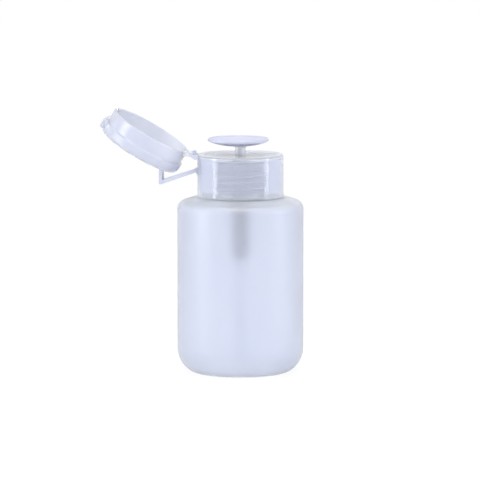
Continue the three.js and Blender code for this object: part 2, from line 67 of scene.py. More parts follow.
def outline(corners, closed=False):
    """A wire of (radius, height) corners in mm. A third number rounds a corner, cutting it
    back that far along both its sides."""
    bm = bmesh.new()
    verts = [bm.verts.new((c[0] * MM, 0, c[1] * MM)) for c in corners]
    for a, b in zip(verts, verts[1:]):
        bm.edges.new((a, b))
    if closed:
        bm.edges.new((verts[-1], verts[0]))
    for cut in sorted({c[2] for c in corners if len(c) > 2}):
        group = [v for v, c in zip(verts, corners) if len(c) > 2 and c[2] == cut]
        bmesh.ops.bevel(bm, geom=group, offset=cut * MM, offset_type="OFFSET", affect="VERTICES",
                        segments=ROUND_STEPS, profile=0.5, material=-1)
    return bm


def divide_wall(bm, radius, pitch):
    """Cuts the upright edge of a wire at this radius to the pitch, both in mm."""
    for edge in bm.edges[:]:
        if all(abs(v.co.x / MM - radius) < ON_WALL for v in edge.verts):
            bmesh.ops.subdivide_edges(bm, edges=[edge],
                                      cuts=math.ceil(edge.calc_length() / MM / pitch))


def spin(bm, steps=FINE_TURN):
    """A wire turned once round the upright axis into a closed skin."""
    bmesh.ops.spin(bm, geom=bm.verts[:] + bm.edges[:], cent=(0, 0, 0), axis=(0, 0, 1),
                   dvec=(0, 0, 0), angle=math.tau, steps=steps, use_merge=True,
                   use_duplicate=False)
    bmesh.ops.remove_doubles(bm, verts=bm.verts, dist=WELD)
    bmesh.ops.recalc_face_normals(bm, faces=bm.faces)
    return bm


def raise_thread(bm, radius, depth, bottom, turns, root, crest):
    """Moves the points of an upright wall out, or in for a negative depth, to a thread that runs
    out at both its ends, and records its flanks, which a material may paint darker as a painted
    shade."""
    flank_shade_mark = bm.verts.layers.float.new("flank")
    sweep = turns * math.tau
    for v in bm.verts:
        r = math.hypot(v.co.x, v.co.y)
        if abs(r / MM - radius) > ON_WALL:
            continue
        first = (math.atan2(v.co.y, v.co.x) - THREAD_START) % math.tau
        share = 0
        for turn in range(math.ceil(turns)):
            along = first + math.tau * turn
            if along > sweep:
                continue
            off = abs(v.co.z / MM - bottom - THREAD_PITCH * along / math.tau)
            flank = min(1, max(0, (root / 2 - off) / ((root - crest) / 2)))
            runout = min(1, RUNOUT_START + min(along, sweep - along) / RUNOUT)
            share = max(share, flank * runout)
        v.co.xy *= 1 + share * depth * MM / r
        v[flank_shade_mark] = 4 * share * (1 - share)


def piece(name, bm, material, body, stands_for):
    """Makes the mesh an object that rides on a body and stands for its CAD nodes."""
    mesh = bpy.data.meshes.new(name)
    bm.to_mesh(mesh)
    bm.free()
    mesh.materials.append(material)
    mesh.shade_smooth()
    mesh.set_sharp_from_angle(angle=SHARP_ANGLE)
    obj = bpy.data.objects.new(name, mesh)
    bpy.context.scene.collection.objects.link(obj)
    shading = obj.modifiers.new("even_shading", "WEIGHTED_NORMAL")
    shading.keep_sharp = True
    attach(obj, body)
    if stands_for:
        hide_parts(*stands_for)
    return obj


def linear(code):
    """The linear colour of an sRGB hex value."""
    parts = [int(code[i:i + 2], 16) / 255 for i in (1, 3, 5)]
    return [p / 12.92 if p <= 0.04045 else ((p + 0.055) / 1.055) ** 2.4 for p in parts] + [1.0]


def add(tree, kind, sockets=(), **settings):
    """Adds a node with its settings, and its sockets' values or links by name or number."""
    made = tree.nodes.new(kind)
    for key, value in settings.items():
        setattr(made, key, value)
    for key, value in dict(sockets).items():
        if isinstance(value, bpy.types.NodeSocket):
            tree.links.new(value, made.inputs[key])
        else:
            made.inputs[key].default_value = value
    return made


def natural_plastic(name, light, deep, clear, rough, ior, cloud_mm, grain_mm, grain, gloss=0.5,
                    fades=(), flank=None, bump=None, coat=0.0):
    """A milky plastic: a faint clouding of the melt between two tones, and a fine skin. Each fade
    runs along an axis between two places in mm to another tone, which is painted light, or to
    another roughness, and the flanks of a thread get a darker tone, a painted shade. A bump goes
    under the skin, or with a coat into the polished surface."""
    material = bpy.data.materials.new(name)
    material.use_nodes = True
    tree = material.node_tree
    tree.nodes.clear()
    place = add(tree, "ShaderNodeTexCoord").outputs["Object"]
    cloud = add(tree, "ShaderNodeTexNoise", {"Vector": place, "Scale": 1 / (cloud_mm * MM),
                                             "Detail": 3.0, "Roughness": 0.55})
    tone = add(tree, "ShaderNodeMix", {"Factor": cloud.outputs["Fac"], "A": linear(light),
                                       "B": linear(deep)}, data_type="RGBA")
    skin = add(tree, "ShaderNodeTexNoise", {"Vector": place, "Scale": 1 / (grain_mm * MM),
                                            "Detail": 2.0, "Roughness": 0.5})
    sheen = add(tree, "ShaderNodeMapRange", {"Value": skin.outputs["Fac"], "From Min": 0.3,
                                             "From Max": 0.7, "To Min": rough - SKIN_SPREAD,
                                             "To Max": rough + SKIN_SPREAD})
    for axis, start, end, far_tone, far_rough in fades:
        across = add(tree, "ShaderNodeSeparateXYZ", {0: place}).outputs[axis]
        reach = {"Value": across, "From Min": start * MM, "From Max": end * MM}
        if far_tone:
            share = add(tree, "ShaderNodeMapRange", reach)
            tone = add(tree, "ShaderNodeMix", {
                "Factor": share.outputs["Result"], "A": tone.outputs["Result"],
                "B": linear(far_tone)}, data_type="RGBA")
        if far_rough:
            sheen = add(tree, "ShaderNodeMapRange", {
                **reach, "To Min": sheen.outputs["Result"], "To Max": far_rough})
    # The thread's flanks, as the mesh records them, get a darker tone: a painted shade.
    if flank:
        flank_shade_mask = add(tree, "ShaderNodeAttribute", attribute_name="flank")
        tone = add(tree, "ShaderNodeMix", {
            "Factor": flank_shade_mask.outputs["Fac"], "A": tone.outputs["Result"], "B": linear(flank)},
            data_type="RGBA")
    relief = add(tree, "ShaderNodeBump", {"Height": skin.outputs["Fac"], "Strength": 1.0,
                                          "Distance": grain * MM})
    shader = add(tree, "ShaderNodeBsdfPrincipled", {
        "Base Color": tone.outputs["Result"], "Roughness": sheen.outputs["Result"],
        "Normal": relief.outputs["Normal"], "IOR": ior, "Transmission Weight": clear,
        "Specular IOR Level": gloss, "Coat Weight": coat, "Coat Roughness": 0.06})
    if bump:
        target = shader.inputs["Coat Normal"] if coat else relief.inputs["Normal"]
        tree.links.new(bump(tree, place).outputs["Normal"], target)
    add(tree, "ShaderNodeOutputMaterial", {"Surface": shader.outputs["BSDF"]})
    return material


def arc(centre, reach, start, end, steps):
    """Corners on part of an ellipse about a centre, from one angle to another in degrees."""
    turns = [math.radians(start + (end - start) * i / steps) for i in range(steps + 1)]
    return [(centre[0] + reach[0] * math.cos(t), centre[1] + reach[1] * math.sin(t)) for t in turns]


def bottle_side(inset, floor):
    """The side of the bottle from the middle of its base to its shelf, inset by a wall."""
    base = (BOTTLE_RADIUS - CORNER_REACH, CORNER_RISE)
    shoulder = (BOTTLE_RADIUS - SHOULDER_RADIUS, WALL_TOP)
    turn = SHOULDER_RADIUS - inset
    return [(0, floor),
            *arc(base, (CORNER_REACH - inset, CORNER_RISE - floor), -90, 0, 20),
            *arc(shoulder, (turn, turn), 0, 90 - math.degrees(SHOULDER_SLOPE), 12),
            (SHELF_RADIUS - inset * math.tan(SHOULDER_SLOPE / 2), SHELF_Z - inset, SHELF_ROUND)]


bottle_outline = outline([
    *bottle_side(0, 0),
    (NECK_RADIUS, SHELF_Z, NECK_FILLET),
    (NECK_RADIUS, NECK_TOP, MOUTH_ROUND),
    (NECK_BORE, NECK_TOP, LIP_ROUND),
    (NECK_BORE, SHELF_Z - BOTTLE_WALL, BORE_ROUND),
    *reversed(bottle_side(BOTTLE_WALL, BOTTLE_FLOOR)),
])
divide_wall(bottle_outline, NECK_RADIUS, THREAD_MESH)
bottle_mesh = spin(bottle_outline)
raise_thread(bottle_mesh, NECK_RADIUS, THREAD_DEPTH, THREAD_BOTTOM, THREAD_TURNS,
             THREAD_ROOT, THREAD_CREST)

# Low-density polyethylene, blow-moulded: a satin skin with a faint orange peel some 2 mm across,
# over a milky wall that blurs what is behind it. The thin neck is clearer, and its tone is painted
# paler, a painted light over the thread. The shoulder is painted paler, a painted light for light
# piped up the wall, and the thread's flanks are painted darker, a painted shade for the light they
# bend away.
blown_polyethylene = natural_plastic(
    "blown_polyethylene", light="#f1f5ff", deep="#ecf1ff", clear=0.78, rough=0.345, ior=1.42,
    cloud_mm=26, grain_mm=2.6, grain=0.002, gloss=1.0, flank="#a6adc3",
    fades=[("Z", WALL_TOP + 1, SHELF_Z - 1, "#f7faff", None),
           ("Z", SHELF_Z, SHELF_Z + 1, "#fefeff", 0.18)])
piece("bottle_shell", bottle_mesh, blown_polyethylene, "bottle", ["bottle"])

# Pump cylinder: injection-moulded polypropylene, hung in the neck by its flange. Its narrow barrel
# is drawn apart from its wide, thin head, because the two let light through differently and the
# barrel carries a painted shade.
CYLINDER_BORE, CYLINDER_RADIUS, CYLINDER_BOTTOM = 3.2, 4.2, 57.3
HEAD_RADIUS, HEAD_WALL, HEAD_BOTTOM, HEAD_CONE, CONE_LAND = 7.6, 1.1, 88.0, 3.0, 0.6
FLANGE_UNDER, FLANGE_TOP, FLANGE_RADIUS, GUIDE_TOP = 101.8, 102.5, 11.3, 97.0
SEAM, SMALL_TURN = 0.02, 96

barrel_top = HEAD_BOTTOM - HEAD_CONE - CONE_LAND
barrel_mesh = spin(outline([
    (CYLINDER_BORE, CYLINDER_BOTTOM, 0.15),
    (CYLINDER_RADIUS, CYLINDER_BOTTOM, 0.25),
    (CYLINDER_RADIUS, barrel_top, 0.1),
    (CYLINDER_BORE, barrel_top, 0.1),
], closed=True), SMALL_TURN)
head_mesh = spin(outline([
    (CYLINDER_BORE, barrel_top + SEAM, 0.1),
    (CYLINDER_RADIUS, barrel_top + SEAM, 0.1),
    (CYLINDER_RADIUS, HEAD_BOTTOM - HEAD_CONE, 0.4),
    (HEAD_RADIUS, HEAD_BOTTOM, 1.0),
    (HEAD_RADIUS, FLANGE_UNDER, 0.3),
    (FLANGE_RADIUS, FLANGE_UNDER, 0.15),
    (FLANGE_RADIUS, FLANGE_TOP, 0.15),
    (HEAD_RADIUS - HEAD_WALL, FLANGE_TOP, 0.2),
    (HEAD_RADIUS - HEAD_WALL, HEAD_BOTTOM + HEAD_WALL, 0.6),
    (CYLINDER_RADIUS, HEAD_BOTTOM - HEAD_CONE + 2 * HEAD_WALL, 0.6),
    (CYLINDER_RADIUS, GUIDE_TOP, 0.2),
    (CYLINDER_BORE, GUIDE_TOP, 0.2),
], closed=True), SMALL_TURN)

# Polypropylene, injection-moulded without pigment, written grey as a painted shade, so it shows as
# a grey shape through the bottle, and painted paler where it rises into the clearer neck, a painted
# light over the thread.
pump_polypropylene = natural_plastic(
    "pump_polypropylene", light="#c2c6d2", deep="#b9bdc9", clear=0.88, rough=0.3, ior=1.4,
    fades=[("Z", 82, 86, "#e6e9f0", None)], cloud_mm=8, grain_mm=1.2, grain=0.002)
piece("cylinder_barrel", barrel_mesh, pump_polypropylene, "pump_unit", ["pump_cylinder"])

# The same polypropylene where its wall is thin: nearly clear.
clear_polypropylene = natural_plastic(
    "clear_polypropylene", light="#ffffff", deep="#fafbff", clear=0.92, rough=0.07, ior=1.4,
    cloud_mm=8, grain_mm=2.0, grain=0.001)
piece("cylinder_head", head_mesh, clear_polypropylene, "pump_unit", [])

# Stem bush: a moulded polypropylene ring snapped into the pump's head. Its nose fits in the
# top of the cylinder and guides the stem.
BUSH_BORE, BUSH_NOSE_RADIUS, BUSH_RADIUS = 2.55, 3.1, 6.4
BUSH_NOSE, BUSH_UNDER, BUSH_TOP = 95.1, 97.1, 102.4

bush_mesh = spin(outline([
    (BUSH_BORE, BUSH_NOSE, 0.1), (BUSH_NOSE_RADIUS, BUSH_NOSE, 0.15),
    (BUSH_NOSE_RADIUS, BUSH_UNDER), (BUSH_RADIUS, BUSH_UNDER, 0.2),
    (BUSH_RADIUS, BUSH_TOP, 0.25), (BUSH_BORE, BUSH_TOP, 0.25),
], closed=True), SMALL_TURN)
piece("guide_bush", bush_mesh, clear_polypropylene, "pump_unit", ["stem_bush"])

# Foot valve body: a moulded polypropylene plug pressed into the cylinder's lower end. The inlet
# ball sits on its top and the dip tube is pushed into its socket.
SOCKET_RADIUS, SOCKET_OUTER, SOCKET_TOP = 1.6, 2.2, 57.1
FOOT_BOTTOM, FOOT_WIDE, FOOT_TOP = 53.6, 56.6, 57.2
SPIGOT_RADIUS, SPIGOT_TOP, PASSAGE_RADIUS = 3.1, 58.6, 0.8

foot_mesh = spin(outline([
    (SOCKET_RADIUS, FOOT_BOTTOM, 0.15), (SOCKET_OUTER, FOOT_BOTTOM, 0.2),
    (CYLINDER_RADIUS, FOOT_WIDE, 0.4), (CYLINDER_RADIUS, FOOT_TOP, 0.15),
    (SPIGOT_RADIUS, FOOT_TOP), (SPIGOT_RADIUS, SPIGOT_TOP, 0.15),
    (PASSAGE_RADIUS, SPIGOT_TOP, 0.1), (PASSAGE_RADIUS, SOCKET_TOP), (SOCKET_RADIUS, SOCKET_TOP),
], closed=True), SMALL_TURN)
piece("foot_socket", foot_mesh, pump_polypropylene, "pump_unit", ["foot_valve"])

# Dip tube: an extruded polyethylene tube, cut square at both ends and pushed into the foot's
# socket. It ends just above the bottle's floor.
DIP_BORE, DIP_RADIUS, DIP_BOTTOM, DIP_TOP, DIP_TURN = 0.95, 1.5, 3.4, 57.0, 64

dip_mesh = spin(outline([
    (DIP_BORE, DIP_BOTTOM, 0.1), (DIP_RADIUS, DIP_BOTTOM, 0.1),
    (DIP_RADIUS, DIP_TOP, 0.1), (DIP_BORE, DIP_TOP, 0.1),
], closed=True), DIP_TURN)

# Low-density polyethylene, extruded: a thin clear tube.
extruded_polyethylene = natural_plastic(
    "extruded_polyethylene", light="#fafbff", deep="#f4f6fd", clear=0.92, rough=0.3, ior=1.3,
    cloud_mm=12, grain_mm=1.0, grain=0.005)
piece("suction_tube", dip_mesh, extruded_polyethylene, "pump_unit", ["dip_tube"])

# Neck gasket: a ring punched from foamed sheet, squeezed between the bottle's mouth and the
# pump's flange when the collar is screwed down.
GASKET_BORE, GASKET_RADIUS, GASKET_BOTTOM, GASKET_TOP, GASKET_TURN = 8.2, 11.6, 100.7, 101.7, 128

gasket_mesh = spin(outline([
    (GASKET_BORE, GASKET_BOTTOM, 0.15), (GASKET_RADIUS, GASKET_BOTTOM, 0.15),
    (GASKET_RADIUS, GASKET_TOP, 0.15), (GASKET_BORE, GASKET_TOP, 0.15),
], closed=True), GASKET_TURN)

# Foamed polyethylene, punched from sheet: soft white and dull, and light passes through its
# fine cells.
foamed_polyethylene = natural_plastic(
    "foamed_polyethylene", light="#fdfdff", deep="#f6f8ff", clear=0.85, rough=0.5, ior=1.5,
    cloud_mm=3, grain_mm=0.4, grain=0.05)
piece("mouth_gasket", gasket_mesh, foamed_polyethylene, "pump_unit", ["neck_gasket"])

# Return spring: round steel wire wound on a mandrel. Its foot stands on the inlet cage and the
# piston presses on its head, so it shortens as the dish goes down.
WIRE_RADIUS, WIRE_SIDES, COIL_RADIUS, COIL_COUNT, COIL_STEPS, PUSH = 0.3, 12, 2.4, 7, 24, 3.7
STEEL_GRAIN = 0.3

spring_low, spring_high = (corner[2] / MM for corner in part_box("return_spring"))
climb = spring_high - spring_low - 2 * WIRE_RADIUS
spring_mesh = bmesh.new()
bmesh.ops.create_circle(spring_mesh, segments=WIRE_SIDES, radius=WIRE_RADIUS * MM)
bmesh.ops.rotate(spring_mesh, verts=spring_mesh.verts, cent=(0, 0, 0),
                 matrix=Matrix.Rotation(math.pi / 2, 3, "X"))
bmesh.ops.translate(spring_mesh, verts=spring_mesh.verts,
                    vec=(COIL_RADIUS * MM, 0, (spring_low + WIRE_RADIUS) * MM))
coil_steps = COIL_COUNT * COIL_STEPS
bmesh.ops.spin(spring_mesh, geom=spring_mesh.verts[:] + spring_mesh.edges[:], cent=(0, 0, 0),
               axis=(0, 0, 1), dvec=(0, 0, climb * MM / coil_steps),
               angle=math.tau * COIL_COUNT, steps=coil_steps, use_duplicate=False)
bmesh.ops.holes_fill(spring_mesh, edges=[e for e in spring_mesh.edges if e.is_boundary])
bmesh.ops.recalc_face_normals(spring_mesh, faces=spring_mesh.faces)

# Stainless steel, drawn to wire and ground to balls: shut in behind two milky walls it mirrors
# only the dark inside of the pump, so the metal is written dark, with a fine grain.
ground_steel = bpy.data.materials.new("ground_steel")
ground_steel.use_nodes = True
steel_tree = ground_steel.node_tree
steel_tree.nodes.clear()
steel_place = add(steel_tree, "ShaderNodeTexCoord").outputs["Object"]
steel_grain = add(steel_tree, "ShaderNodeTexNoise", {
    "Vector": steel_place, "Scale": 1 / (STEEL_GRAIN * MM), "Detail": 2.0})
steel_rough = add(steel_tree, "ShaderNodeMapRange", {
    "Value": steel_grain.outputs["Fac"], "To Min": 0.2, "To Max": 0.34})
steel_tone = add(steel_tree, "ShaderNodeMix", {
    "Factor": steel_grain.outputs["Fac"], "A": linear("#2a2c31"), "B": linear("#212327")},
    data_type="RGBA")
steel_shader = add(steel_tree, "ShaderNodeBsdfPrincipled", {
    "Base Color": steel_tone.outputs["Result"], "Metallic": 1.0,
    "Roughness": steel_rough.outputs["Result"]})
add(steel_tree, "ShaderNodeOutputMaterial", {"Surface": steel_shader.outputs["BSDF"]})
spring = piece("coil_spring", spring_mesh, ground_steel, "pump_unit", ["return_spring"])
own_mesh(spring)

# Small pieces inside the pump: the CAD's own solids of the two ground balls, the moulded inlet
# cage and piston, and the two seals, which are seated or pressed in place.

# Nitrile rubber, moulded: black-grey and dull.
nitrile_rubber = natural_plastic(
    "nitrile_rubber", light="#2b2d31", deep="#25272b", clear=0.0, rough=0.6, ior=1.52,
    cloud_mm=2, grain_mm=0.5, grain=0.005)

# Acetal, a hard, satin plastic that slides well, written dark grey: a painted shade for the dark
# core of the pump.
painted_shade_acetal = natural_plastic(
    "painted_shade_acetal", light="#363940", deep="#2f3238", clear=0.0, rough=0.35, ior=1.48,
    cloud_mm=3, grain_mm=0.6, grain=0.003)

for name, material in (
    ("outlet_ball", ground_steel), ("inlet_ball", ground_steel),
    ("inlet_cage", painted_shade_acetal), ("piston", painted_shade_acetal),
    ("piston_seal", nitrile_rubber), ("stem_seal", foamed_polyethylene),
):
    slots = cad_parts[name].data.materials
    slots.clear()
    slots.append(material)

# Screw collar: one moulding of natural polypropylene with an outer skirt, a deck and an inner
# threaded skirt. The lid's hinge ears and the strap's root grow from its outer wall at the back
# and are drawn apart from it, because they are hazier than its wall.
COLLAR_RADIUS, COLLAR_WALL, COLLAR_FOOT, COLLAR_RIM = 20.5, 1.1, 84.25, 104.2
DECK_TOP, DECK_UNDER, DECK_HOLE, RIM_LAND, RIM_SLOPE = 103.8, 102.6, 2.8, 3.1, 0.4
SKIRT_BORE, SKIRT_WALL, SKIRT_FOOT = 12.2, 1.15, 85.91
SKIRT_TURNS, SKIRT_ROOT, SKIRT_CREST = 2.5, 1.2, 0.5
HINGE_X, HINGE_Z, OPEN_ANGLE = -22.85, 104.0, math.radians(149.5)
EAR_INNER, EAR_WIDTH, EAR_THICKNESS, EAR_ROOT = 3.5, 3.0, 0.95, 1.9
EAR_BURIED, EAR_SLOPE, PARTING, PLAY, CUT_PAST = -19.5, -21.0, 0.3, 0.02, 5.0
STRAP_ROOT, STRAP_KNEE = Vector((-21.6, 96.4)), Vector((-38.0, 90.7))
STRAP_WIDTH, STRAP_THICKNESS, STRAP_SAG = 6.0, 1.5, 0.35
EDGE_ANGLE, EDGE_STEPS = math.radians(30), 3
ROOT_BELOW, ROOT_ABOVE, ROOT_FLARE, ROOT_BURIED, ROOT_MARGIN = 2.2, 1.6, 1.0, -19.9, 0.3


def slab(points, width, centre_y=0.0, edge=0.12):
    """An outline in X and Z, in mm, drawn out along Y, with its sharp edges eased."""
    bm = bmesh.new()
    face = bm.faces.new([bm.verts.new((x * MM, (centre_y - width / 2) * MM, z * MM))
                         for x, z in points])
    drawn = bmesh.ops.extrude_face_region(bm, geom=[face])["geom"]
    bmesh.ops.translate(bm, verts=[v for v in drawn if isinstance(v, bmesh.types.BMVert)],
                        vec=(0, width * MM, 0))
    bmesh.ops.recalc_face_normals(bm, faces=bm.faces)
    if edge:
        hard = [e for e in bm.edges if e.calc_face_angle(0) > EDGE_ANGLE]
        bmesh.ops.bevel(bm, geom=hard, offset=edge * MM, offset_type="OFFSET", affect="EDGES",
                        segments=EDGE_STEPS, profile=0.5, material=-1)
    return bm


def fused(body, joined, cut=()):
    """One closed mesh of a body with pieces joined to it and others cut from it."""
    made = []
    for bm in (body, *joined, *cut):
        mesh = bpy.data.meshes.new("blank")
        bm.to_mesh(mesh)
        bm.free()
        obj = bpy.data.objects.new("blank", mesh)
        bpy.context.scene.collection.objects.link(obj)
        made.append(obj)
    for i, other in enumerate(made[1:]):
        step = made[0].modifiers.new("fuse", "BOOLEAN")
        step.operation = "UNION" if i < len(joined) else "DIFFERENCE"
        step.solver = "MANIFOLD"
        step.object = other
    bpy.context.view_layer.update()
    result = bmesh.new()
    result.from_object(made[0], bpy.context.evaluated_depsgraph_get())
    for obj in made:
        mesh = obj.data
        bpy.data.objects.remove(obj)
        bpy.data.meshes.remove(mesh)
    return result


collar_outline = outline([
    (COLLAR_RADIUS - COLLAR_WALL, COLLAR_FOOT, 0.2),
    (COLLAR_RADIUS, COLLAR_FOOT, 0.25),
    (COLLAR_RADIUS, COLLAR_RIM, 0.8),
    (COLLAR_RADIUS - RIM_LAND, COLLAR_RIM, 0.15),
    (COLLAR_RADIUS - RIM_LAND - RIM_SLOPE, DECK_TOP, 0.15),
    (DECK_HOLE, DECK_TOP, 0.2),
    (DECK_HOLE, DECK_UNDER, 0.15),
    (COLLAR_RADIUS - COLLAR_WALL, DECK_UNDER, 0.5),
], closed=True)
collar_shell = spin(collar_outline)
skirt_outline = outline([
    (SKIRT_BORE, DECK_UNDER - SEAM, 0.1),
    (SKIRT_BORE, SKIRT_FOOT, 0.25),
    (SKIRT_BORE + SKIRT_WALL, SKIRT_FOOT, 0.25),
    (SKIRT_BORE + SKIRT_WALL, DECK_UNDER - SEAM, 0.1),
], closed=True)
divide_wall(skirt_outline, SKIRT_BORE, THREAD_MESH)
skirt_mesh = spin(skirt_outline)
raise_thread(skirt_mesh, SKIRT_BORE, -THREAD_DEPTH, THREAD_BOTTOM + THREAD_PITCH / 2,
             SKIRT_TURNS, SKIRT_ROOT, SKIRT_CREST)

lugs = []
ear_top = HINGE_Z - PARTING / 2
for side in (1, -1):
    middle = side * (EAR_INNER + EAR_WIDTH / 2)
    lugs.append(slab([
        (EAR_BURIED, ear_top - EAR_ROOT), (EAR_SLOPE, ear_top - EAR_ROOT),
        (HINGE_X, ear_top - EAR_THICKNESS), (HINGE_X, ear_top), (EAR_BURIED, ear_top)],
        EAR_WIDTH - PLAY, middle))
strap_half = STRAP_THICKNESS / 2
root_x, root_z = STRAP_ROOT
root_low, root_high = root_z - ROOT_BELOW, root_z + ROOT_ABOVE
lugs.append(slab([
    (ROOT_BURIED, root_low),
    *arc((root_x, root_low), (ROOT_FLARE, ROOT_BELOW - strap_half), 0, 90, 8),
    *arc((root_x, root_z), (strap_half, strap_half), -90, -270, 8)[1:],
    *arc((root_x, root_high), (ROOT_FLARE, ROOT_ABOVE - strap_half), -90, 0, 8)[1:],
    (ROOT_BURIED, root_high)], STRAP_WIDTH + ROOT_MARGIN, edge=0.08))


def flutes(count, depth, location=(0, 0, 0), turn=0.0):
    """Shallow upright ripples round an axis, which may lie turned about Y."""
    def bump(tree, place):
        upright = add(tree, "ShaderNodeMapping", {
            "Vector": place, "Location": location, "Rotation": (0, turn, 0)},
            vector_type="TEXTURE")
        axes = add(tree, "ShaderNodeSeparateXYZ", {0: upright.outputs[0]}).outputs
        angle = add(tree, "ShaderNodeMath", {0: axes["Y"], 1: axes["X"]}, operation="ARCTAN2")
        phase = add(tree, "ShaderNodeMath", {0: angle.outputs[0], 1: count},
                    operation="MULTIPLY")
        wave = add(tree, "ShaderNodeMath", {0: phase.outputs[0]}, operation="SINE")
        return add(tree, "ShaderNodeBump", {"Height": wave.outputs[0], "Strength": 1.0,
                                            "Distance": depth * MM})
    return bump


# Polypropylene, injection-moulded without pigment: a smooth skin, faintly rippled along the flow,
# over a hazy wall through which the thread behind it still shows. Deck and foot are painted paler,
# a painted light against the shade under the dish and in the gap at the foot.
moulded_polypropylene = natural_plastic(
    "moulded_polypropylene", light="#edf1fe", deep="#e8edfc", clear=0.76, rough=0.1, ior=1.33,
    cloud_mm=14, grain_mm=3.0, grain=0.002, gloss=1.0,
    fades=[("Z", 102.9, 103.6, "#f2f6ff", None), ("Z", 88.5, 84.8, "#f4f8ff", None)],
    bump=flutes(110, 0.006))
piece("collar_shell", collar_shell, moulded_polypropylene, "closure", ["screw_collar"])

# The same shot where it is drawn thin and bent: hazy and satin.
hazy_polypropylene = natural_plastic(
    "hazy_polypropylene", light="#dadeee", deep="#d5d9ea", clear=0.3, rough=0.32, ior=1.35,
    cloud_mm=9, grain_mm=1.5, grain=0.002)
lug_clearance = spin(outline([
    (0, COLLAR_FOOT), (COLLAR_RADIUS + PLAY / 2, COLLAR_FOOT),
    (COLLAR_RADIUS + PLAY / 2, COLLAR_RIM + CUT_PAST), (0, COLLAR_RIM + CUT_PAST)]))
piece("collar_lugs", fused(lugs[0], lugs[1:], [lug_clearance]), hazy_polypropylene, "closure",
      [])
piece("threaded_skirt", skirt_mesh, clear_polypropylene, "closure", [])

# Dish: a thin polypropylene saucer with a rounded lip and a small hole in its floor. Its hub
# is pressed on the stem, and it stands 1 mm off the stem's axis.
DISH_RADIUS, DISH_OFFSET, DISH_BOTTOM, DISH_TOP = 14.5, -1.0, 108.1, 111.8
DISH_RIM, DISH_FLOOR, DISH_LIP, DISH_CURVE, DISH_STEPS = 1.2, 1.2, 0.9, 2.5, 24
HUB_RADIUS, HUB_DROP, HUB_PLAY, OUTLET_TURN = 3.0, 0.5, 0.1, 64
STEM_RADIUS, OUTLET_RADIUS, STEM_TOP = 2.45, 0.9, 108.8


def saucer_line(reach, low, high):
    """Corners that climb from the middle out to a reach, slowly and then steeply."""
    return [(reach * i / DISH_STEPS, low + (high - low) * (i / DISH_STEPS) ** DISH_CURVE)
            for i in range(DISH_STEPS + 1)]


lip = DISH_LIP / 2
saucer = spin(outline([
    *saucer_line(DISH_RADIUS, DISH_BOTTOM, DISH_TOP - DISH_RIM),
    *arc((DISH_RADIUS - lip, DISH_TOP - lip), (lip, lip), 0, 180, 12),
    *reversed(saucer_line(DISH_RADIUS - DISH_LIP, DISH_BOTTOM + DISH_FLOOR, DISH_TOP - lip)[:-1]),
]))
bmesh.ops.translate(saucer, verts=saucer.verts, vec=(DISH_OFFSET * MM, 0, 0))
hub = spin(outline([
    (0, DISH_BOTTOM - HUB_DROP), (HUB_RADIUS, DISH_BOTTOM - HUB_DROP, 0.2),
    (HUB_RADIUS, DISH_BOTTOM + HUB_DROP), (0, DISH_BOTTOM + HUB_DROP)]), SMALL_TURN)
socket_radius, socket_low = STEM_RADIUS + HUB_PLAY, DISH_BOTTOM - CUT_PAST
socket = spin(outline([
    (0, socket_low), (socket_radius, socket_low), (socket_radius, STEM_TOP + HUB_PLAY),
    (0, STEM_TOP + HUB_PLAY)]), SMALL_TURN)
outlet = spin(outline([
    (0, DISH_BOTTOM), (OUTLET_RADIUS, DISH_BOTTOM), (OUTLET_RADIUS, DISH_TOP + CUT_PAST),
    (0, DISH_TOP + CUT_PAST)]), OUTLET_TURN)
dish_mesh = fused(saucer, [hub], [socket, outlet])

# Polypropylene, injection-moulded: milkier than the lid, with a satin skin that holds a film of
# liquid. Its underside is painted paler, a painted light for light that comes through from above.
dish_polypropylene = natural_plastic(
    "dish_polypropylene", light="#d9dcef", deep="#d4d7ea", clear=0.48, rough=0.32, ior=1.4,
    fades=[("Z", 109.3, 108.6, "#ffffff", None)], cloud_mm=9, grain_mm=1.5, grain=0.002)
piece("press_dish", dish_mesh, dish_polypropylene, "plunger", ["dish"])

# Stem: a hollow rod moulded in polypropylene. The piston is pressed into its foot, a ring on it
# stops the stroke under the seal, and the liquid rises through its bore to the dish.
STEM_FOOT, STOP_RADIUS, STOP_LOW, STOP_HIGH = 76.5, 3.0, 92.0, 93.7
CHAMBER_RADIUS, CHAMBER_TOP, CONE_TOP = 1.45, 79.6, 80.15

stem_mesh = spin(outline([
    (CHAMBER_RADIUS, STEM_FOOT), (STEM_RADIUS, STEM_FOOT, 0.2),
    (STEM_RADIUS, STOP_LOW), (STOP_RADIUS, STOP_LOW, 0.2),
    (STOP_RADIUS, STOP_HIGH, 0.2), (STEM_RADIUS, STOP_HIGH),
    (STEM_RADIUS, STEM_TOP, 0.15), (OUTLET_RADIUS, STEM_TOP, 0.15),
    (OUTLET_RADIUS, CONE_TOP), (CHAMBER_RADIUS, CHAMBER_TOP),
], closed=True), SMALL_TURN)

# The stem's own moulding of the same polypropylene: clearer, but satin too.
stem_polypropylene = natural_plastic(
    "stem_polypropylene", light="#fcfdff", deep="#f8f9ff", clear=0.85, rough=0.32, ior=1.4,
    cloud_mm=6, grain_mm=1.0, grain=0.002)
piece("stem_rod", stem_mesh, stem_polypropylene, "plunger", ["stem"])

